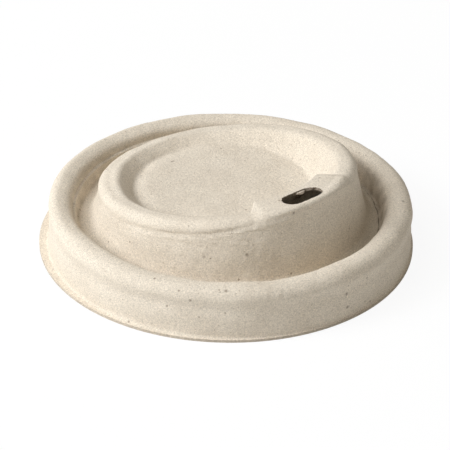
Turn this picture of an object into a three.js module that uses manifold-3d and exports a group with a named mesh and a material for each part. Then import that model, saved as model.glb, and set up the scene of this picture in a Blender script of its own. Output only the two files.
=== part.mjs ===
// Takeaway cup lid moulded from sugar-cane fibre: one thin shell of even wall.
// Millimetres, +Z up. The origin is on the table, in the middle of the trimmed edge.
// The drinking slot is towards -Y, and the lid is alike on both sides of it.

import * as THREE from "three";
import { mergeVertices } from "three/addons/utils/BufferGeometryUtils.js";
import Module from "manifold-3d";

// Wall of pulp, the same everywhere
const WALL = 0.7;

// Trimmed edge: a round punch cuts the lip, a little further back than the mould's own axis
const TRIM_RADIUS = 47.1;
const TRIM_SHIFT = 1.2;

// Skirt, and the rolled ring that snaps over the rim of a cup
const SKIRT_FOOT_RADIUS = 45.5;
const RING_OUTER_RADIUS = 45.4;
const RING_INNER_RADIUS = 39.1;
const RING_HEIGHT = 13.3;
const RING_ROUNDING = 3.1;
const FLARE_ROUNDING = 2.0;

// Groove between the ring and the dome
const GROOVE_HEIGHT = 6.9;
const GROOVE_RADIUS = 38.0;
const GROOVE_ROUNDING = 1.3;

// Dome: a cone of constant draft, cut off by a slanted plane
const DOME_RADIUS = 34.5;
const DOME_DRAFT = THREE.MathUtils.degToRad(14);
const DOME_ROUNDING = 2.4;

// Rim on the slanted plane, highest at the drinking slot
const RIM_HEIGHT = 19.8;
const RIM_SLANT = THREE.MathUtils.degToRad(8.8);
const RIM_WIDTH = 4.6;
const RIM_ROUNDING = 2.5;
const RIM_FACE_DEPTH = 3.4;
const RIM_FACE_DRAFT = THREE.MathUtils.degToRad(5);
const CREASE_ROUNDING = 2.0;

// Level recess inside the rim
const RECESS_HEIGHT = 14.4;
const RECESS_RADIUS = 22.0;
const RECESS_SHIFT = 2.3;
const RECESS_ROUNDING = 2.6;

// Sip pad: over this much of its round the rim widens inwards and stands a little proud
const PAD_INNER_RADIUS = 21.8;
const PAD_SPAN = THREE.MathUtils.degToRad(65);
const PAD_RISE = 0.6;
const PAD_END_RUN = 2.4;
const PAD_CORNER = 2.8;
const PAD_ROUNDING = 1.1;

// Drinking slot, punched through the pad a few degrees off its middle
const SLOT_LENGTH = 10.8;
const SLOT_WIDTH = 5.6;
const SLOT_RADIUS = 26.3;
const SLOT_TURN = THREE.MathUtils.degToRad(2.5);

// How finely the shell is divided: columns round the axis, and chords on each rounding
const COLUMNS = 64;
const PAD_END_SPLIT = 3;
const OUTSIDE_CHORDS = { recess: 3, rim: 3, crease: 1, dome: 2, groove: 2, ring: 4, flare: 2 };
const INSIDE_CHORDS = { recess: 2, rim: 2, crease: 1, dome: 2, groove: 1, ring: 3, flare: 2 };
const SLOT_END_CHORDS = 8;

// Limits of the working: the smallest rounding cut, the share of a side that roundings may take,
// the turn that counts as straight, the distance at which points are one, and the punch's free end
const LEAST_CUT = 0.25;
const MOST_OF_A_SIDE = 0.96;
const STRAIGHT = 1e-6;
const MERGE_DISTANCE = 1e-4;
const PUNCH_CLEARANCE = 1.5;

const { lerp, smoothstep } = THREE.MathUtils;

// Height of the slanted rim plane over a point this far towards the slot
const rimPlane = (forward) => RIM_HEIGHT + forward * Math.tan(RIM_SLANT);

// Turn from one heading to the next, between minus and plus half a circle
function turnBetween(before, after) {
  const turn = after - before;
  return Math.atan2(Math.sin(turn), Math.cos(turn));
}

// Distance from the mould's axis, in a direction, to a circle set back from the axis
function setBackCircle(radius, setBack, angle) {
  const across = setBack * Math.sin(angle);
  return Math.sqrt(radius * radius - across * across) - setBack * Math.cos(angle);
}

// One on the sip pad, nought on the plain rim, and between the two at the ends of the pad,
// which can be set in towards its middle by a length along its inner edge
function padShare(angle, setIn) {
  const fromMiddle = Math.abs(turnBetween(0, angle));
  const end = PAD_SPAN / 2 - setIn / PAD_INNER_RADIUS;
  return 1 - smoothstep(fromMiddle, end - PAD_END_RUN / PAD_INNER_RADIUS, end);
}

// Corners of the outside face from the recess out to the lip, each with its rounding and chords.
// The angle is measured round the mould's axis from the direction of the slot.
function outsideCorners(angle, chords) {
  const forward = Math.cos(angle);
  const innerPad = padShare(angle, 0);
  const outerPad = padShare(angle, PAD_CORNER);

  // The crease under the rim lies on the dome's cone, at its depth below the rim plane
  const slope = Math.tan(DOME_DRAFT);
  const coneRun = RIM_HEIGHT - RIM_FACE_DEPTH - GROOVE_HEIGHT;
  const creaseRadius =
    (DOME_RADIUS - coneRun * slope) / (1 + Math.tan(RIM_SLANT) * forward * slope);
  const creaseHeight = rimPlane(creaseRadius * forward) - RIM_FACE_DEPTH;
  const outerRise = PAD_RISE * outerPad;
  const rimOuter = creaseRadius - (RIM_FACE_DEPTH + outerRise) * Math.tan(RIM_FACE_DRAFT);
  const rimInner = lerp(rimOuter - RIM_WIDTH, PAD_INNER_RADIUS, innerPad);

  const trim = setBackCircle(TRIM_RADIUS, TRIM_SHIFT, angle);
  return [
    { r: 0, z: RECESS_HEIGHT },
    {
      r: setBackCircle(RECESS_RADIUS, RECESS_SHIFT, angle),
      z: RECESS_HEIGHT,
      rounding: RECESS_ROUNDING,
      chords: chords.recess,
    },
    {
      r: rimInner,
      z: rimPlane(rimInner * forward) + PAD_RISE * innerPad,
      rounding: lerp(RIM_ROUNDING, PAD_ROUNDING, innerPad),
      chords: chords.rim,
    },
    {
      r: rimOuter,
      z: rimPlane(rimOuter * forward) + outerRise,
      rounding: lerp(RIM_ROUNDING, PAD_ROUNDING, outerPad),
      chords: chords.rim,
    },
    { r: creaseRadius, z: creaseHeight, rounding: CREASE_ROUNDING, chords: chords.crease },
    { r: DOME_RADIUS, z: GROOVE_HEIGHT, rounding: DOME_ROUNDING, chords: chords.dome },
    { r: GROOVE_RADIUS, z: GROOVE_HEIGHT, rounding: GROOVE_ROUNDING, chords: chords.groove },
    { r: RING_INNER_RADIUS, z: RING_HEIGHT, rounding: RING_ROUNDING, chords: chords.ring },
    { r: RING_OUTER_RADIUS, z: RING_HEIGHT, rounding: RING_ROUNDING, chords: chords.ring },
    { r: SKIRT_FOOT_RADIUS, z: WALL, rounding: FLARE_ROUNDING, chords: chords.flare },
    { r: trim, z: WALL },
  ];
}

// Replaces each inner corner by an arc, made smaller where two arcs would meet on a short side.
// Every point keeps the heading of the section there, so that the wall can be set off squarely.
function roundCorners(corners) {
  const sides = corners.slice(1).map((corner, i) => {
    const run = new THREE.Vector2(corner.r - corners[i].r, corner.z - corners[i].z);
    return { heading: run.angle(), length: run.length() };
  });
  const turns = corners.map((_, i) =>
    i > 0 && i < sides.length ? turnBetween(sides[i - 1].heading, sides[i].heading) : 0,
  );
  const cuts = corners.map((corner, i) =>
    corner.rounding ? Math.max(corner.rounding * Math.tan(Math.abs(turns[i]) / 2), LEAST_CUT) : 0,
  );
  const fits = sides.map((side, i) =>
    Math.min(1, (MOST_OF_A_SIDE * side.length) / Math.max(cuts[i] + cuts[i + 1], LEAST_CUT)),
  );
  return corners.flatMap((corner, i) => {
    if (!corner.rounding) return [{ r: corner.r, z: corner.z, heading: 0 }];
    const cut = cuts[i] * Math.min(fits[i - 1], fits[i]);
    return arcPoints(corner, sides[i - 1].heading, turns[i], cut);
  });
}

// Points of the arc that cuts a corner off at this length along both of its sides
function arcPoints(corner, heading, turn, cut) {
  const startR = corner.r - cut * Math.cos(heading);
  const startZ = corner.z - cut * Math.sin(heading);
  return Array.from({ length: corner.chords + 1 }, (_, k) => {
    const share = k / corner.chords;
    const turned = turn * share;
    const bent = Math.abs(turn) > STRAIGHT;
    const reach = bent ? (2 * cut * Math.sin(turned / 2)) / Math.tan(turn / 2) : 2 * cut * share;
    return {
      r: startR + reach * Math.cos(heading + turned / 2),
      z: startZ + reach * Math.sin(heading + turned / 2),
      heading: heading + turned,
    };
  });
}

// The same section seen from below, one wall further in
const setInByWall = (point) => ({
  r: point.r + WALL * Math.sin(point.heading),
  z: point.z - WALL * Math.cos(point.heading),
});

// Directions of the columns, closer together at the two ends of the pad
function columnAngles() {
  const step = (2 * Math.PI) / COLUMNS;
  const angles = [];
  for (let i = 0; i < COLUMNS; i++) {
    const angle = step * i;
    const middle = angle + step / 2;
    const fromPadEnd = Math.abs(Math.abs(turnBetween(0, middle)) - PAD_SPAN / 2);
    const parts = fromPadEnd < step ? PAD_END_SPLIT : 1;
    for (let k = 0; k < parts; k++) angles.push(angle + (step * k) / parts);
  }
  return angles;
}

// Closed shell: columns of points down the outside face and back along the inside face
function shellGeometry() {
  const columns = columnAngles().map((angle) => {
    const outside = roundCorners(outsideCorners(angle, OUTSIDE_CHORDS));
    const inside = roundCorners(outsideCorners(angle, INSIDE_CHORDS)).map(setInByWall);
    const section = [...outside, ...inside.reverse()];
    return section.map(({ r, z }) => [r * Math.sin(angle), -r * Math.cos(angle), z]);
  });
  const rows = columns[0].length;
  const positions = columns.flat(2);
  const index = [];
  columns.forEach((_, c) => {
    const here = c * rows;
    const next = ((c + 1) % columns.length) * rows;
    for (let row = 0; row < rows - 1; row++) {
      const lastRow = row === rows - 2;
      if (row > 0) index.push(here + row, next + row + 1, next + row);
      if (!lastRow) index.push(here + row, here + row + 1, next + row + 1);
    }
  });
  const geometry = new THREE.BufferGeometry();
  geometry.setAttribute("position", new THREE.Float32BufferAttribute(positions, 3));
  geometry.setIndex(index);
  return mergeVertices(geometry, MERGE_DISTANCE);
}

// Punch for the drinking slot: round-ended, square to the pad, and long enough for the wall
function slotPunch() {
  const endRadius = SLOT_WIDTH / 2;
  const endCentre = SLOT_LENGTH / 2 - endRadius;
  const outline = new THREE.Shape();
  outline.absarc(endCentre, 0, endRadius, -Math.PI / 2, Math.PI / 2);
  outline.absarc(-endCentre, 0, endRadius, Math.PI / 2, (3 * Math.PI) / 2);
  const reach = PAD_RISE + WALL + PUNCH_CLEARANCE;
  const punch = new THREE.ExtrudeGeometry(outline, {
    depth: 2 * reach,
    bevelEnabled: false,
    curveSegments: SLOT_END_CHORDS,
  });
  punch.translate(0, 0, -reach);
  punch.rotateX(-RIM_SLANT);
  punch.translate(0, -SLOT_RADIUS, rimPlane(SLOT_RADIUS));
  punch.rotateZ(-SLOT_TURN);
  return punch;
}

const manifold = await Module();
manifold.setup();

// Closed geometry as a solid that can be cut
function toSolid(geometry) {
  const bare = geometry.clone();
  bare.deleteAttribute("normal");
  bare.deleteAttribute("uv");
  const merged = mergeVertices(bare, MERGE_DISTANCE);
  return new manifold.Manifold(
    new manifold.Mesh({
      numProp: 3,
      vertProperties: new Float32Array(merged.attributes.position.array),
      triVerts: new Uint32Array(merged.index.array),
    }),
  );
}

// Solid back to a geometry with one flat normal for each facet
function toGeometry(solid) {
  const mesh = solid.getMesh();
  const geometry = new THREE.BufferGeometry();
  geometry.setAttribute("position", new THREE.BufferAttribute(mesh.vertProperties, 3));
  geometry.setIndex(new THREE.BufferAttribute(mesh.triVerts, 1));
  const flat = geometry.toNonIndexed();
  flat.computeVertexNormals();
  return flat;
}

// The lid
const pulp = new THREE.MeshStandardMaterial({ color: "#e2d6c1", roughness: 0.95, metalness: 0 });
const lid = new THREE.Mesh(toGeometry(toSolid(shellGeometry()).subtract(toSolid(slotPunch()))), pulp);
lid.name = "lid";
lid.position.y = -TRIM_SHIFT;

const part = new THREE.Group();
part.add(lid);
export default part;
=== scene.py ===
"""The look of a takeaway cup lid of moulded sugar-cane pulp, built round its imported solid."""

from math import cos, hypot, pi, radians, sin, tan

import bpy
import numpy as np
from mathutils import Matrix, Vector, noise


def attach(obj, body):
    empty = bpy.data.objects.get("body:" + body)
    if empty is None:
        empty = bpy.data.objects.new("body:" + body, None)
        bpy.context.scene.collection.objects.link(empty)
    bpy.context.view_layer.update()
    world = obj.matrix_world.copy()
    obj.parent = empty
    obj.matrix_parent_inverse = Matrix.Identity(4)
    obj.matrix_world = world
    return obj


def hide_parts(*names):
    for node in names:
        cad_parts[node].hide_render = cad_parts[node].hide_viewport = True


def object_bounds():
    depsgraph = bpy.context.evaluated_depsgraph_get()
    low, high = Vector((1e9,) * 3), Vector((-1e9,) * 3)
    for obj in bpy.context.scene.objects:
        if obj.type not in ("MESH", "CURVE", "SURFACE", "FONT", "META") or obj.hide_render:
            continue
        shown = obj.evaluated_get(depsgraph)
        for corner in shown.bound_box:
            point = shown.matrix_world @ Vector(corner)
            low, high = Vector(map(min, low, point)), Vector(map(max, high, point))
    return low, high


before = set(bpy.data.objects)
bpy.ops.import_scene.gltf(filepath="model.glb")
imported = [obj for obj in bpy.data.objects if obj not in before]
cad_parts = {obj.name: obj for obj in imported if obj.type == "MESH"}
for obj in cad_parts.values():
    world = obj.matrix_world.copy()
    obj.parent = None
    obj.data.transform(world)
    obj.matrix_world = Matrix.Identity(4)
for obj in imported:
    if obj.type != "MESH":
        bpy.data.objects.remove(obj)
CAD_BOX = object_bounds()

MM = 0.001

# Wall, lip and skirt, in millimetres round the mould's own axis
WALL = 0.7
TRIM_RADIUS = 47.1
TRIM_SHIFT = 1.2
SKIRT_FOOT_RADIUS = 45.5
FLARE_ROUNDING = 2.0
WIDE_LIP_ROUNDING = 0.7

# Ring over the cup's rim, and the groove inside it
RING_OUTER_RADIUS = 45.4
RING_INNER_RADIUS = 39.1
RING_HEIGHT = 13.3
RING_ROUNDING = 3.1
GROOVE_HEIGHT = 6.9
GROOVE_RADIUS = 38.0
GROOVE_ROUNDING = 0.7

# Dome and its slanted rim
DOME_RADIUS = 34.5
DOME_DRAFT = radians(14)
DOME_ROUNDING = 3.2
RIM_HEIGHT = 19.8
RIM_SLANT = radians(8.8)
RIM_WIDTH = 4.6
RIM_ROUNDING = 2.5
RIM_FACE_DEPTH = 3.4
RIM_FACE_DRAFT = radians(5)
CREASE_ROUNDING = 2.0

# Recess, sip pad and drinking slot
RECESS_HEIGHT = 14.4
RECESS_RADIUS = 22.0
RECESS_SHIFT = 2.3
RECESS_ROUNDING = 1.5
PAD_INNER_RADIUS = 21.8
PAD_SPAN = radians(65)
PAD_RISE = 0.6
PAD_INNER_RISE = 0.75
PAD_END_RUN = 2.1
PAD_CORNER = 0.4
PAD_CORNER_RUN = 2.4
PAD_EDGE_RUN = 7.0
PAD_ROUNDING = 1.1
SLOT_LENGTH = 10.8
SLOT_WIDTH = 5.6
SLOT_RADIUS = 26.3
SLOT_TURN = radians(2.5)

# Mesh: columns round the axis, chords on each rounding, and pieces of each straight side
COLUMNS = 320
CHORDS = {"recess": 6, "rim": 8, "crease": 5, "dome": 6, "groove": 10, "ring": 10, "flare": 6}
SIDE_PIECES = (16, 8, 14, 6, 34, 4, 8, 3, 24, 5)
INSIDE_CHORDS = {"recess": 3, "rim": 4, "crease": 2, "dome": 3, "groove": 3, "ring": 5, "flare": 3}
INSIDE_SIDE_PIECES = (6, 3, 4, 2, 6, 2, 3, 1, 6, 2)
SLOT_POINTS = 150

# Columns closer together over the pad, and closest at its ends
PAD_HALF_SPAN = radians(38)
PAD_DENSITY = 0.6
PAD_END = radians(30)
PAD_END_WIDTH = radians(4)
PAD_END_DENSITY = 3

# Unevenness of the whole wall, in millimetres: two slow waves as depth, scale and seed, the waist
# of the skirt, and at the far left the dip at the recess's foot, its shoulder and the ring's slant
SLOW_WAVES = ((0.3, 0.045, 3), (0.15, 0.14, 11))
WAIST_DEPTH = 0.34
WAIST_HEIGHT = 8.2
FOOT_DIP = 0.65
SHOULDER_RISE = 0.45
RING_SLANT = 0.6

# Marks that only the outside face shows: heights and depths in millimetres
FINE_RELIEF = 0.035
STREAK_RELIEF = 0.02
WRINKLE_RELIEF = 0.07
FOLD_DEPTH = 0.2
FOLD_TAIL_DEPTH = 0.12
FOLD_LIP_RISE = 0.04
STRIP_RADIUS = 28.4
STRIP_RISE = 0.12
STRIP_LINE_DEPTH = 0.1
CRACK_RADIUS = 37.35
CRACK_DEPTH = 0.35
CRACK_LIP_RISE = 0.1
LOOSE_FIBRE_RISE = 0.12
FOOT_LINE_DEPTH = 0.12
PIT_DEPTH = 0.3
SKIRT_CREASE_DEPTH = 0.1
SKIRT_CREASE_RISE = 0.06

# Pits along the back of the ring: degrees from the slot, and radius
PITS = ((135.7, 39.6), (133.0, 39.6), (120.4, 40.3))

# The punch that cuts the slot: its layers, and how far its wall is ragged, frayed and torn, and how
# far a scrap of pulp hangs into it
PUNCH_DEPTH = 3.0
PUNCH_STEP = 0.1
PUNCH_LAYERS = 61
RAGGED = 0.16
FRAYED = 0.14
SCRAP_LENGTH = 1.1
TEAR_LENGTH = 0.4

# How dark the slot's cut wall, its scrap and the trimmed edge are drawn, and the painted shade on
# the inner wall close behind the slot, at its left and at its right
SLOT_CUT_DARKNESS = 0.8
SCRAP_DARKNESS = 0.85
TRIM_CUT_DARKNESS = 0.35
INSIDE_LEFT_PAINTED_SHADE = 0.45
INSIDE_RIGHT_PAINTED_SHADE = 0.98
SHADED_REACH = 12

# Colours of the pulp, and of what stands in it
DEEP_PULP = (0.735, 0.652, 0.54, 1)
PALE_PULP = (0.785, 0.705, 0.592, 1)
FINE_SPECK_COLOUR = (0.33, 0.24, 0.15, 1)
COARSE_SPECK_COLOUR = (0.2, 0.13, 0.08, 1)
PLACED_SPECK_COLOUR = (0.16, 0.11, 0.07, 1)
# Colour of the painted shade in the crack and on the ring's inner wall
PAINTED_SHADE_COLOUR = (0.12, 0.085, 0.05, 1)
# Colour of the cut faces, and of the painted shade inside behind the slot
CUT_AND_INSIDE_SHADE_COLOUR = (0.12, 0.07, 0.034, 1)

# Grain of the pulp: size in millimetres, detail, and the darkest and palest that it makes
CLOUD_SIZE = 9
FIBRE_SIZE = 0.42
FIBRE_SHADES = (0.8, 1.16)
GRAIN_SIZE = 0.2
GRAIN_SHADES = (0.74, 1.25)
FLECK_SIZE = 0.5
FLECK_DARKNESS = 0.3
PULP_ROUGHNESS = 0.92
PULP_SHEEN = 0.25
BUMP_STRENGTH = 0.6
BUMP_DEPTH = 0.15

# Scattered specks: spacing, radius, share kept and darkness
FINE_SPECKS = (0.9, 0.18, 0.4)
FINE_SPECK_DARKNESS = 0.45
COARSE_SPECKS = (2.1, 0.26, 0.35)
COARSE_SPECK_DARKNESS = 0.6
PLACED_SPECK_DARKNESS = 0.6
# How dark the painted shade in the crack and on the ring's inner wall is
PAINTED_SHADE_DARKNESS = 0.75

# Dark specks: degrees from the slot, radius, height and reach
PLACED_SPECKS = (
    (-149.6, 23.6, 14.3, 0.5),
    (-175.5, 20.5, 14.4, 0.45),
    (-176.9, 20.4, 14.4, 0.45),
    (-159.2, 39.4, 12.2, 0.6),
    (-171.7, 39.0, 11.8, 0.6),
    (-113.3, 39.1, 11.9, 0.6),
    (-43.2, 43.9, 12.8, 0.5),
    (-53.6, 45.4, 10.3, 0.55),
    (-52.9, 32.6, 14.45, 0.55),
    (-35.1, 32.4, 15.3, 0.55),
    (-4.8, 45.4, 7.4, 0.55),
    (-4.5, 45.4, 3.7, 0.6),
    (44.1, 42.95, 13.2, 0.6),
    (-13.2, 30.7, 23.7, 0.45),
)

# Limits of the working
LEAST_CUT = 0.25
MOST_OF_A_SIDE = 0.96

# Camera, from the photograph's perspective: distance from the middle of the base in millimetres,
# angles, and where the middle of the base falls from the middle of a 450 pixel frame
CAMERA_DISTANCE = 469.8
CAMERA_ELEVATION = radians(31.41)
CAMERA_TURN = radians(-132.5)
CAMERA_ROLL = radians(1.04)
FRAME_PIXELS = 450
FOCAL_PIXELS = 1858.5
SENSOR_WIDTH = 36
MIDDLE_RIGHT_PIXELS = 4.35
MIDDLE_DOWN_PIXELS = 13.8

# Light: the sky's strength and colour, and each lamp's name, its place to the camera's right,
# towards the camera and up in metres, its size, power and colour
SKY_LIGHT = 0.25
SKY_COLOUR = (1, 0.95, 0.84, 1)
LAMPS = (
    ("key", (-1.2, 0.3, 0.88), 0.6, 17.4, (0.98, 1.0, 1.03)),
    ("top", (-0.72, 0.2, 1.3), 0.7, 7.6, (0.98, 1.0, 1.03)),
    ("fill", (1.1, 0.9, 0.45), 0.8, 1.2, (1.0, 0.97, 0.92)),
)

# Floor: its size in metres, its grey, and how far it is plain white where it is seen beyond the lid
FLOOR_SIZE = 6
FLOOR_GREY = (0.85, 0.85, 0.85, 1)
FLOOR_WHITE = 1.02
FLOOR_PALENESS = 0.9
COVERED_RADIUS = 44


def smoothstep(value, low, high):
    share = np.clip((value - low) / (high - low), 0, 1)
    return share * share * (3 - 2 * share)


def blend(a, b, share):
    return a + (b - a) * share


def turn_between(before, after):
    return np.arctan2(np.sin(after - before), np.cos(after - before))


def rim_plane(forward):
    return RIM_HEIGHT + forward * tan(RIM_SLANT)


def set_back_circle(radius, set_back, angles):
    across = set_back * np.sin(angles)
    return np.sqrt(radius**2 - across**2) - set_back * np.cos(angles)


def pad_share(angles, set_in, run):
    from_middle = np.abs(turn_between(0, angles))
    end = PAD_SPAN / 2 - set_in / PAD_INNER_RADIUS
    return 1 - smoothstep(from_middle, end - run / PAD_INNER_RADIUS, end)


def outside_corners(angles):
    """Corners of the outside face from the recess to the lip: radius, height, rounding and name."""
    forward = np.cos(angles)
    inner_pad = pad_share(angles, 0, PAD_END_RUN)
    outer_pad = pad_share(angles, PAD_CORNER, PAD_CORNER_RUN)
    edge = blend(RIM_ROUNDING, PAD_ROUNDING, pad_share(angles, PAD_CORNER, PAD_EDGE_RUN))
    same = np.ones_like(angles)
    slope = tan(DOME_DRAFT)
    cone_run = RIM_HEIGHT - RIM_FACE_DEPTH - GROOVE_HEIGHT
    crease_radius = (DOME_RADIUS - cone_run * slope) / (1 + tan(RIM_SLANT) * forward * slope)
    crease_height = rim_plane(crease_radius * forward) - RIM_FACE_DEPTH
    outer_rise = PAD_RISE * outer_pad
    rim_outer = crease_radius - (RIM_FACE_DEPTH + outer_rise) * tan(RIM_FACE_DRAFT)
    rim_inner = blend(rim_outer - RIM_WIDTH, PAD_INNER_RADIUS, inner_pad)
    inner_height = rim_plane(rim_inner * forward) + PAD_INNER_RISE * inner_pad
    outer_height = rim_plane(rim_outer * forward) + outer_rise
    recess = set_back_circle(RECESS_RADIUS, RECESS_SHIFT, angles)
    trim = set_back_circle(TRIM_RADIUS, TRIM_SHIFT, angles)
    wide_lip = smoothstep(trim - SKIRT_FOOT_RADIUS, 0.8, 1.6)
    flare = blend(FLARE_ROUNDING, WIDE_LIP_ROUNDING, wide_lip)
    return [
        (0 * same, RECESS_HEIGHT * same, 0, None),
        (recess, RECESS_HEIGHT * same, RECESS_ROUNDING, "recess"),
        (rim_inner, inner_height, blend(RIM_ROUNDING, PAD_ROUNDING, inner_pad), "rim"),
        (rim_outer, outer_height, edge, "rim"),
        (crease_radius, crease_height, CREASE_ROUNDING, "crease"),
        (DOME_RADIUS * same, GROOVE_HEIGHT * same, DOME_ROUNDING, "dome"),
        (GROOVE_RADIUS * same, GROOVE_HEIGHT * same, GROOVE_ROUNDING, "groove"),
        (RING_INNER_RADIUS * same, RING_HEIGHT * same, RING_ROUNDING, "ring"),
        (RING_OUTER_RADIUS * same, RING_HEIGHT * same, RING_ROUNDING, "ring"),
        (SKIRT_FOOT_RADIUS * same, WALL * same, flare, "flare"),
        (trim, WALL * same, 0, None),
    ]


def rounded_section(corners, chords, side_pieces):
    """Rows of (radius, height, heading), each an array over the columns, with rounded corners."""
    runs = [(b[0] - a[0], b[1] - a[1]) for a, b in zip(corners, corners[1:])]
    headings = [np.arctan2(dz, dr) for dr, dz in runs]
    lengths = [np.hypot(dr, dz) for dr, dz in runs]
    count = len(corners)
    turns = [0 * lengths[0]] * count
    cuts = [0 * lengths[0]] * count
    for i in range(1, count - 1):
        turns[i] = turn_between(headings[i - 1], headings[i])
        cuts[i] = np.maximum(corners[i][2] * np.tan(np.abs(turns[i]) / 2), LEAST_CUT)
    fits = [
        np.minimum(1, MOST_OF_A_SIDE * length / np.maximum(cuts[i] + cuts[i + 1], LEAST_CUT))
        for i, length in enumerate(lengths)
    ]
    rows = []
    for i, (radius, height, _, name) in enumerate(corners):
        if name is None:
            arc = [(radius, height, 0 * radius)]
        else:
            cut = cuts[i] * np.minimum(fits[i - 1], fits[i])
            arc = arc_rows(radius, height, headings[i - 1], turns[i], cut, chords[name])
        if rows:
            rows += side_rows(rows[-1], arc[0], side_pieces[i - 1])
        rows += arc
    return rows


def arc_rows(radius, height, heading, turn, cut, chords):
    start_r = radius - cut * np.cos(heading)
    start_z = height - cut * np.sin(heading)
    bent = np.where(np.abs(turn) > 1e-6, turn, 1e-6)
    rows = []
    for k in range(chords + 1):
        turned = bent * k / chords
        reach = 2 * cut * np.sin(turned / 2) / np.tan(bent / 2)
        rows.append((
            start_r + reach * np.cos(heading + turned / 2),
            start_z + reach * np.sin(heading + turned / 2),
            heading + turned,
        ))
    return rows


def side_rows(start, end, pieces):
    """Rows between two ends of a straight side, without the ends."""
    shares = [k / pieces for k in range(1, pieces)]
    return [(blend(start[0], end[0], s), blend(start[1], end[1], s), end[2]) for s in shares]


def in_space(radius, height, angles):
    return np.stack([radius * np.sin(angles), -radius * np.cos(angles), height], axis=1)


def fractal(points, scale, seed):
    """Seeded smooth noise at each point, about minus half to half, with features 1/scale wide."""
    start = Vector((seed, seed * 0.7, seed * 1.3))
    return np.array([noise.fractal(Vector(p) * scale + start, 1.0, 2.0, 3) for p in points])


def hump(value, middle, width):
    return np.exp(-(((value - middle) / width) ** 2))


def within(value, low, high, soft):
    return smoothstep(value, low - soft, low) * (1 - smoothstep(value, high, high + soft))


def soft_relief(radius, height, angles):
    """Millimetres by which the whole wall stands off its true form."""
    points = in_space(radius, height, angles)
    above_foot = smoothstep(height, 0.8, 3.5)
    below_top = 1 - smoothstep(height, 21.5, 24.0)
    slow = sum(depth * fractal(points, scale, seed) for depth, scale, seed in SLOW_WAVES)
    turn = np.degrees(turn_between(0, angles))
    left = smoothstep(-turn, 95, 130)
    foot = set_back_circle(RECESS_RADIUS, RECESS_SHIFT, angles)
    dip = FOOT_DIP * hump(radius, foot + 0.3, 1.5)
    dip -= SHOULDER_RISE * hump(radius, foot + 4.6, 1.6)
    dip *= left + smoothstep(turn, 150, 175)
    waist = WAIST_DEPTH * hump(height, WAIST_HEIGHT, 1.9) * smoothstep(radius, 43.5, 45)
    on_ring = (height > 10) * (radius > 38)
    slant = RING_SLANT * smoothstep(-radius, -44, -40.5) * on_ring
    slant *= left + smoothstep(turn, 100, 140)
    return slow * above_foot * below_top - waist - dip - slant


def crack_line(radius, height, angles):
    """One along the crack in the floor of the groove, falling to nought beside it."""
    turn = np.degrees(turn_between(0, angles))
    level = in_space(radius, GROOVE_HEIGHT + 0.1 + 0 * height, angles)
    line = CRACK_RADIUS + 0.2 * fractal(level, 0.2, 41)
    broken = np.clip(0.85 + 1.4 * fractal(in_space(radius, height, angles), 0.5, 61), 0.45, 1)
    return hump(radius, line, 0.17) * (height < 8.6) * within(turn, 24, 76, 8) * broken


def ring_wall_shade(radius, height, angles):
    """How far the ring's inner wall is darkened as painted shade, most of all at the right."""
    turn = np.degrees(turn_between(0, angles))
    wall = within(radius, 37.7, 39.9, 0.5) * within(height, 7.2, 11.5, 1.2)
    right = within(turn, 20, 95, 20)
    left = smoothstep(-turn, 60, 100)
    patches = 1 + 1.2 * fractal(in_space(radius, height, angles), 0.35, 67)
    return wall * patches * (0.08 + 0.26 * right + 0.12 * left)


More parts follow.
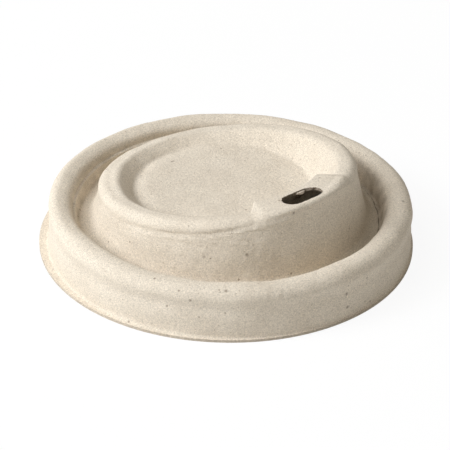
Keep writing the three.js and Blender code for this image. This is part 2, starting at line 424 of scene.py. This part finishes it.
def surface_relief(radius, height, angles):
    """Millimetres of the marks that only the outside face shows."""
    points = in_space(radius, height, angles)
    turn = np.degrees(turn_between(0, angles))
    patches = fractal(points, 0.3, 29)
    streaks = fractal(points * (0.5, 0.5, 2.4), 1.0, 17)
    on_cone = within(height, 11, 20.5, 1.5) * within(radius, 30.5, 34, 0.2)
    fine = fractal(points, 0.8, 5)
    relief = FINE_RELIEF * fine * smoothstep(height, 0.8, 2) * (height < 23.5)

    # Fine wrinkles round the wall of the dome, close below its rim
    below_rim = rim_plane(radius * np.cos(angles)) - height
    wrinkled = within(below_rim, 2.6, 5.5, 1.2) * within(turn, -95, -28, 10)
    relief += on_cone * streaks * (STREAK_RELIEF + WRINKLE_RELIEF * wrinkled)

    # Fold under the bead of the rim, which runs up to the pad
    fold = 0.8 + 2.3 * smoothstep(-turn, 13, 62)
    on_face = within(radius, 30.0, 32.4, 0.3)
    depth = FOLD_DEPTH * within(turn, -45, -16, 9) + FOLD_TAIL_DEPTH * within(turn, -85, -45, 14)
    relief -= depth * hump(below_rim, fold, 0.6) * on_face * (1 + 0.5 * patches)
    lip = hump(below_rim, fold + 1.2, 0.35) * on_face * within(turn, -75, -25, 8)
    relief += FOLD_LIP_RISE * lip

    # Raised strip along the outer edge of the pad, with the line that it starts from
    strip = STRIP_RADIUS - 0.066 * (turn - 11)
    on_pad = within(turn, 11, 27, 2.5) * (height > 22)
    raised = smoothstep(radius, strip - 0.2, strip + 0.4) * (radius < 29.5)
    relief += STRIP_RISE * raised * on_pad
    relief -= STRIP_LINE_DEPTH * hump(radius, strip - 0.35, 0.2) * on_pad

    # Crack along the floor of the groove, and the rolled edge beside it
    relief -= CRACK_DEPTH * crack_line(radius, height, angles)
    relief += CRACK_LIP_RISE * crack_line(radius + 0.55, height, angles)

    # Loose fibres along the inner edge of the ring
    edge = hump(radius, 40.2, 0.35) * (height > 11) * within(turn, -70, 5, 10)
    relief += LOOSE_FIBRE_RISE * edge * np.maximum(0, 0.35 + fractal(points, 1.1, 53))

    # Line along the foot of the recess at the far left
    foot = set_back_circle(RECESS_RADIUS, RECESS_SHIFT, angles)
    beside = smoothstep(-turn, 120, 135) * (height < 17)
    relief -= FOOT_LINE_DEPTH * hump(radius, foot + 0.5, 0.3) * beside

    # Pits along the back of the ring
    for place, out in PITS:
        pit = hump(turn, place, 0.9) * hump(radius, out, 0.5) * (height > 10)
        relief -= PIT_DEPTH * pit

    # Crease in the skirt at the left
    crease = -79.8 + 1.1 * (6.3 - height) + 1.5 * patches
    on_skirt = (radius > 45) * within(height, 2.6, 7.2, 0.9)
    relief -= SKIRT_CREASE_DEPTH * hump(turn, crease, 0.55) * on_skirt
    relief += SKIRT_CREASE_RISE * hump(turn, crease + 1.6, 0.9) * on_skirt
    return relief


def dress(radius, height, heading, angles, wall, marked):
    """Places one row in space, wall millimetres inside the outside face."""
    relief = soft_relief(radius, height, angles)
    if marked:
        relief = relief + surface_relief(radius, height, angles)
    inward = wall - relief
    return in_space(radius + inward * np.sin(heading), height - inward * np.cos(heading), angles)


def column_angles():
    """Directions of the columns, closer together over the pad and closest at its ends."""
    fine = np.linspace(-pi, pi, 7201)
    turned = np.abs((fine[1:] + fine[:-1]) / 2)
    at_end = hump(turned, PAD_END, PAD_END_WIDTH)
    density = 1 + PAD_DENSITY * (turned < PAD_HALF_SPAN) + PAD_END_DENSITY * at_end
    count = np.concatenate([[0], np.cumsum(density)])
    return np.interp(np.arange(COLUMNS) * count[-1] / COLUMNS, count, fine)


def shell_mesh():
    angles = column_angles()
    corners = outside_corners(angles)
    outside = rounded_section(corners, CHORDS, SIDE_PIECES)
    inside = rounded_section(corners, INSIDE_CHORDS, INSIDE_SIDE_PIECES)
    rows = []
    painted_shades = []
    for radius, height, heading in outside[1:]:
        rows.append(dress(radius, height, heading, angles, 0, True))
        # Painted shade: the crack in the groove's floor and the ring's inner wall are darkened in
        # colour
        wall_shade = ring_wall_shade(radius, height, angles)
        painted_shades.append(np.maximum(crack_line(radius, height, angles), wall_shade))
    outside_points = len(rows) * COLUMNS
    for radius, height, heading in inside[:0:-1]:
        rows.append(dress(radius, height, heading, angles, WALL, False))
    points = np.concatenate(rows)
    points[:, 2] = np.minimum(points[:, 2], CAD_BOX[1][2] / MM)
    top = len(points)
    bottom = top + 1
    tops = np.array([[0, 0, RECESS_HEIGHT], [0, 0, RECESS_HEIGHT - WALL]])
    points = np.concatenate([points, tops])
    faces = []
    last = (len(rows) - 1) * COLUMNS
    for c in range(COLUMNS):
        n = (c + 1) % COLUMNS
        faces.append((top, c, n))
        faces.append((bottom, last + n, last + c))
        for row in range(len(rows) - 1):
            a = row * COLUMNS
            b = a + COLUMNS
            faces.append((a + c, b + c, b + n, a + n))
    points[:, 1] -= TRIM_SHIFT
    mesh = bpy.data.meshes.new("pulp_lid")
    mesh.from_pydata((points * MM).tolist(), [], faces)
    painted_shade = np.zeros(len(points))
    painted_shade[:outside_points] = np.concatenate(painted_shades)
    inner = np.ones(len(points))
    inner[:outside_points] = 0
    inner[top] = 0
    # This attribute holds painted shade: the crack and the ring's inner wall, darkened in colour
    mesh.attributes.new("painted_shade", "FLOAT", "POINT").data.foreach_set("value", painted_shade)
    mesh.attributes.new("inner", "FLOAT", "POINT").data.foreach_set("value", inner)
    mesh.update()
    return mesh


def make_lid():
    lid = bpy.data.objects.new("pulp_lid", shell_mesh())
    bpy.context.scene.collection.objects.link(lid)
    cutter = slot_cutter()
    cut = lid.modifiers.new("slot", "BOOLEAN")
    cut.object = cutter
    cut.operation = "DIFFERENCE"
    cut.solver = "EXACT"
    bake_modifiers(lid)
    mark_cuts_and_inside_shade(lid.data, cutter.matrix_world)
    bpy.data.objects.remove(cutter)
    lid.data.shade_smooth()
    lid.data.set_sharp_from_angle(angle=radians(50))
    return lid


def bake_modifiers(piece):
    evaluated = piece.evaluated_get(bpy.context.evaluated_depsgraph_get())
    baked = bpy.data.meshes.new_from_object(evaluated)
    piece.modifiers.clear()
    piece.data = baked


def slot_outline():
    """Round-ended outline, counter-clockwise, with its points evenly spaced along it."""
    half = SLOT_WIDTH / 2
    ends = SLOT_LENGTH / 2 - half
    bend = pi * half
    length = 2 * (bend + 2 * ends)
    outline = []
    for k in range(SLOT_POINTS):
        along = length * k / SLOT_POINTS
        side = 1 if along < length / 2 else -1
        along %= length / 2
        if along < bend:
            a = along / half - pi / 2
            x, y, out_x, out_y = ends + half * cos(a), half * sin(a), cos(a), sin(a)
        else:
            x, y, out_x, out_y = ends - (along - bend), half, 0, 1
        outline.append((side * x, side * y, side * out_x, side * out_y))
    return outline


def slot_cutter():
    outline = slot_outline()
    layers = [PUNCH_STEP * k - PUNCH_DEPTH for k in range(PUNCH_LAYERS)]
    points = []
    for layer in layers:
        for x, y, out_x, out_y in outline:
            place = Vector((x, y, layer))
            ragged = RAGGED * noise.fractal(place * 0.9, 1.0, 2.0, 3)
            ragged += FRAYED * noise.fractal(place * 3.5 + Vector((9, 2, 5)), 1.0, 2.0, 2)
            scrap = SCRAP_LENGTH * float(hump(x, 2.0, 1.2) * smoothstep(y, 1.5, 2.5))
            scrap *= float(smoothstep(-layer, 0.15, 0.5))
            tear = TEAR_LENGTH * float(hump(x, 5.2, 0.8) * (y < 1.6))
            push = ragged - scrap + tear
            points.append((x + push * out_x, y + push * out_y, layer))
    count = len(outline)
    last = count * (len(layers) - 1)
    faces = [tuple(range(count))[::-1], tuple(range(last, last + count))]
    for base in range(0, last, count):
        for k in range(count):
            n = (k + 1) % count
            faces.append((base + k, base + n, base + count + n, base + count + k))
    mesh = bpy.data.meshes.new("slot_cutter")
    mesh.from_pydata([tuple(v * MM for v in p) for p in points], [], faces)
    cutter = bpy.data.objects.new("slot_cutter", mesh)
    bpy.context.scene.collection.objects.link(cutter)
    place = Matrix.Translation(Vector((0, -TRIM_SHIFT, 0)) * MM)
    place @= Matrix.Rotation(-SLOT_TURN, 4, "Z")
    pad_top = rim_plane(SLOT_RADIUS) + PAD_RISE
    place @= Matrix.Translation(Vector((0, -SLOT_RADIUS, pad_top)) * MM)
    place @= Matrix.Rotation(-RIM_SLANT, 4, "X")
    cutter.matrix_world = place
    bpy.context.view_layer.update()
    return cutter


def mark_cuts_and_inside_shade(mesh, punch):
    """Notes how dark each face is drawn: the slot's wall and scrap, painted shade on the inside
    near it, the cut edge.
    """
    values = np.zeros(len(mesh.polygons))
    to_punch = punch.inverted()
    turn = to_punch.to_3x3()
    ends = (SLOT_LENGTH - SLOT_WIDTH) / 2
    inner = mesh.attributes["inner"].data
    for face in mesh.polygons:
        place = to_punch @ face.center / MM
        normal = turn @ face.normal
        across = Vector((place.x - min(max(place.x, -ends), ends), place.y))
        inward = -(across.x * normal.x + across.y * normal.y)
        if 1.6 < across.length < SLOT_WIDTH / 2 + 0.7 and inward > 0.5 * across.length:
            values[face.index] = SLOT_CUT_DARKNESS
        elif across.length < SLOT_WIDTH / 2 - 0.35 and abs(place.z) < 1.5:
            values[face.index] = SCRAP_DARKNESS
        # Painted shade on the inside of the lid close behind the slot, darker towards its right
        elif face.normal.z < -0.15 and all(inner[v].value > 0.9 for v in face.vertices):
            reach = min(1, 2 * max(0, 1 - place.length / SHADED_REACH))
            to_right = float(smoothstep(place.x, 0, 3))
            darkness = blend(INSIDE_LEFT_PAINTED_SHADE, INSIDE_RIGHT_PAINTED_SHADE, to_right)
            values[face.index] = reach * darkness
        from_axis = hypot(face.center.x, face.center.y) / MM
        if face.center.z < WALL * MM and from_axis > TRIM_RADIUS - 0.05:
            values[face.index] = TRIM_CUT_DARKNESS
    # This attribute holds the darkness of the cut faces and the painted shade inside behind the
    # slot
    mesh.attributes.new("cut", "FLOAT", "FACE").data.foreach_set("value", values)


class Shader:
    """Short calls for building one node tree."""

    def __init__(self, owner):
        owner.use_nodes = True
        self.tree = owner.node_tree
        self.nodes = self.tree.nodes
        self.place = self.nodes.new("ShaderNodeTexCoord").outputs["Object"]

    def plug(self, value, socket):
        if isinstance(value, bpy.types.NodeSocket):
            self.tree.links.new(value, socket)
        else:
            socket.default_value = value

    def math(self, operation, a, b=0.0, c=0.0, clamp=False):
        node = self.nodes.new("ShaderNodeMath")
        node.operation = operation
        node.use_clamp = clamp
        for socket, value in zip(node.inputs, (a, b, c)):
            self.plug(value, socket)
        return node.outputs[0]

    def vector(self, operation, a, b=None):
        """Vector maths on the two, whose result is a vector or a value, as the operation has it."""
        node = self.nodes.new("ShaderNodeVectorMath")
        node.operation = operation
        self.plug(a, node.inputs[0])
        if b is not None:
            self.plug(b, node.inputs[1])
        return next(out for out in node.outputs if out.enabled)

    def attribute(self, name):
        node = self.nodes.new("ShaderNodeAttribute")
        node.attribute_name = name
        return node.outputs["Fac"]

    def seen(self):
        """One for rays from the camera and for mirrored ones."""
        path = self.nodes.new("ShaderNodeLightPath")
        return self.math("MAXIMUM", path.outputs["Is Camera Ray"], path.outputs["Is Glossy Ray"])

    def mix_shaders(self, share, a, b, out):
        node = self.nodes.new("ShaderNodeMixShader")
        for socket, value in zip(node.inputs, (share, a, b)):
            self.plug(value, socket)
        self.plug(node.outputs[0], self.nodes[out].inputs["Surface"])

    def noise(self, size, detail=2.0, stretch=(1, 1, 1), distortion=0.0):
        """Noise from nought to one whose features are about size millimetres wide."""
        scaled = self.vector("MULTIPLY", self.place, [s / (size * MM) for s in stretch])
        node = self.nodes.new("ShaderNodeTexNoise")
        node.inputs["Scale"].default_value = 1
        node.inputs["Detail"].default_value = detail
        node.inputs["Distortion"].default_value = distortion
        self.plug(scaled, node.inputs["Vector"])
        return node.outputs[0]

    def specks(self, spacing, radius, share):
        """One inside small dots, one dot in each cell of this spacing, a share of them kept."""
        node = self.nodes.new("ShaderNodeTexVoronoi")
        node.inputs["Scale"].default_value = 1 / (spacing * MM)
        self.plug(self.place, node.inputs["Vector"])
        draw = self.nodes.new("ShaderNodeSeparateColor")
        self.plug(node.outputs["Color"], draw.inputs[0])
        kept = self.math("LESS_THAN", draw.outputs[0], share)
        reach = radius / spacing
        size = self.math("MULTIPLY_ADD", draw.outputs[1], reach, 0.4 * reach)
        share_out = self.math("DIVIDE", node.outputs["Distance"], size)
        near = self.math("SUBTRACT", 1.0, share_out, clamp=True)
        return self.math("MULTIPLY", kept, self.math("MULTIPLY", near, 2.0, clamp=True))

    def range(self, value, low, high, to_low, to_high):
        node = self.nodes.new("ShaderNodeMapRange")
        self.plug(value, node.inputs["Value"])
        numbers = {"From Min": low, "From Max": high, "To Min": to_low, "To Max": to_high}
        for name, number in numbers.items():
            node.inputs[name].default_value = number
        return node.outputs[0]

    def mix(self, share, a, b):
        node = self.nodes.new("ShaderNodeMix")
        node.data_type = "RGBA"
        self.plug(share, node.inputs[0])
        self.plug(a, node.inputs[6])
        self.plug(b, node.inputs[7])
        return node.outputs[2]


def placed_specks(make):
    """One inside the dark specks that stand at known places."""
    found = 0.0
    for turn, radius, height, size in PLACED_SPECKS:
        a = radians(turn)
        place = Vector((radius * sin(a), -radius * cos(a) - TRIM_SHIFT, height)) * MM
        distance = make.vector("DISTANCE", make.place, place)
        inside = make.range(distance, 0.4 * size * MM, size * MM, 1, 0)
        found = make.math("MAXIMUM", found, inside)
    return found


def pulp_material():
    material = bpy.data.materials.new("pulp")
    make = Shader(material)
    pulp = make.nodes["Principled BSDF"]

    clouds = make.range(make.noise(CLOUD_SIZE, 3), 0.3, 0.7, 0, 1)
    colour = make.mix(clouds, DEEP_PULP, PALE_PULP)
    fibres = make.range(make.noise(FIBRE_SIZE, 3, (1, 1, 1.5), 0.6), 0.25, 0.75, *FIBRE_SHADES)
    grain = make.range(make.noise(GRAIN_SIZE, 2), 0.25, 0.75, *GRAIN_SHADES)
    toned = make.nodes.new("ShaderNodeVectorMath")
    toned.operation = "SCALE"
    make.plug(colour, toned.inputs[0])
    make.plug(make.math("MULTIPLY", fibres, grain), toned.inputs["Scale"])
    colour = toned.outputs[0]
    coarse = make.specks(*COARSE_SPECKS)
    ragged = make.range(make.noise(FLECK_SIZE, 2), 0.3, 0.6, 0.5, 1)
    darker = (
        (make.specks(*FINE_SPECKS), FINE_SPECK_DARKNESS, FINE_SPECK_COLOUR),
        (coarse, COARSE_SPECK_DARKNESS, COARSE_SPECK_COLOUR),
        (make.range(make.noise(FLECK_SIZE, 2, (1, 1, 2.2)), 0.63, 0.72, 0, 1),
         FLECK_DARKNESS, FINE_SPECK_COLOUR),
        (placed_specks(make), PLACED_SPECK_DARKNESS, PLACED_SPECK_COLOUR),
        # Painted shade in the crack and on the ring's inner wall
        (make.attribute("painted_shade"), PAINTED_SHADE_DARKNESS, PAINTED_SHADE_COLOUR),
        # Cut faces, and painted shade on the inside close behind the slot
        (make.attribute("cut"), ragged, CUT_AND_INSIDE_SHADE_COLOUR),
    )
    for share, darkness, its_colour in darker:
        colour = make.mix(make.math("MULTIPLY", share, darkness), colour, its_colour)
    make.plug(colour, pulp.inputs["Base Color"])
    pulp.inputs["Roughness"].default_value = PULP_ROUGHNESS
    pulp.inputs["Specular IOR Level"].default_value = PULP_SHEEN

    rough = make.math("MULTIPLY", make.noise(1.6, 2), 1.2)
    height = make.math("ADD", make.noise(0.36, 4, (1, 1, 1.3), 0.4), rough)
    height = make.math("SUBTRACT", height, make.math("MULTIPLY", coarse, 0.8))
    bump = make.nodes.new("ShaderNodeBump")
    bump.inputs["Strength"].default_value = BUMP_STRENGTH
    bump.inputs["Distance"].default_value = BUMP_DEPTH * MM
    make.plug(height, bump.inputs["Height"])
    make.plug(bump.outputs[0], pulp.inputs["Normal"])
    return material


def make_floor():
    bpy.ops.mesh.primitive_plane_add(size=FLOOR_SIZE)
    floor = bpy.context.object
    floor.name = "floor"
    material = bpy.data.materials.new("floor")
    make = Shader(material)
    shader = make.nodes["Principled BSDF"]
    shader.inputs["Base Color"].default_value = FLOOR_GREY
    shader.inputs["Roughness"].default_value = 1
    away = make.vector("LENGTH", make.place)
    beside = make.math("GREATER_THAN", away, COVERED_RADIUS * MM)
    pale = make.math("MULTIPLY", make.math("MULTIPLY", make.seen(), beside), FLOOR_PALENESS)
    white = make.nodes.new("ShaderNodeEmission")
    white.inputs["Strength"].default_value = FLOOR_WHITE
    make.mix_shaders(pale, shader.outputs[0], white.outputs[0], "Material Output")
    floor.data.materials.append(material)


def make_world():
    world = bpy.data.worlds.new("world")
    bpy.context.scene.world = world
    make = Shader(world)
    sky = make.nodes["Background"]
    sky.inputs["Color"].default_value = SKY_COLOUR
    sky.inputs["Strength"].default_value = SKY_LIGHT
    white = make.nodes.new("ShaderNodeBackground")
    make.mix_shaders(make.seen(), sky.outputs[0], white.outputs[0], "World Output")


def add_light(name, place, size, power, colour):
    right, _, back = camera_axes()
    level_back = Vector((back.x, back.y, 0)).normalized()
    to_right, towards_camera, height = place
    data = bpy.data.lights.new(name, "AREA")
    data.color = colour
    data.size = size
    data.energy = power
    light = bpy.data.objects.new(name, data)
    bpy.context.scene.collection.objects.link(light)
    light.location = right * to_right + level_back * towards_camera + Vector((0, 0, height))
    light.rotation_euler = (-light.location).to_track_quat("-Z", "Y").to_euler()


def camera_axes():
    """Right, up and back of the unrolled camera, in the part's frame."""
    out = Vector((cos(CAMERA_TURN), sin(CAMERA_TURN), 0))
    back = out * cos(CAMERA_ELEVATION) + Vector((0, 0, sin(CAMERA_ELEVATION)))
    right = Vector((0, 0, 1)).cross(back).normalized()
    return right, back.cross(right), back


def add_camera():
    right, up, back = camera_axes()
    rolled_right = right * cos(CAMERA_ROLL) + up * sin(CAMERA_ROLL)
    rolled_up = back.cross(rolled_right)
    place = Vector((0, -TRIM_SHIFT, 0)) * MM + back * CAMERA_DISTANCE * MM
    data = bpy.data.cameras.new("camera")
    data.sensor_width = SENSOR_WIDTH
    data.lens = SENSOR_WIDTH * FOCAL_PIXELS / FRAME_PIXELS
    data.shift_x = -MIDDLE_RIGHT_PIXELS / FRAME_PIXELS
    data.shift_y = MIDDLE_DOWN_PIXELS / FRAME_PIXELS
    data.clip_end = 10
    camera = bpy.data.objects.new("camera", data)
    bpy.context.scene.collection.objects.link(camera)
    turn = Matrix((rolled_right, rolled_up, back)).transposed()
    camera.matrix_world = Matrix.Translation(place) @ turn.to_4x4()
    bpy.context.scene.camera = camera


scene = bpy.context.scene
scene.view_settings.view_transform = "Standard"
add_camera()
make_floor()
make_world()
for lamp in LAMPS:
    add_light(*lamp)

lid = make_lid()
lid.data.materials.append(pulp_material())
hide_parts("lid")
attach(lid, "root")
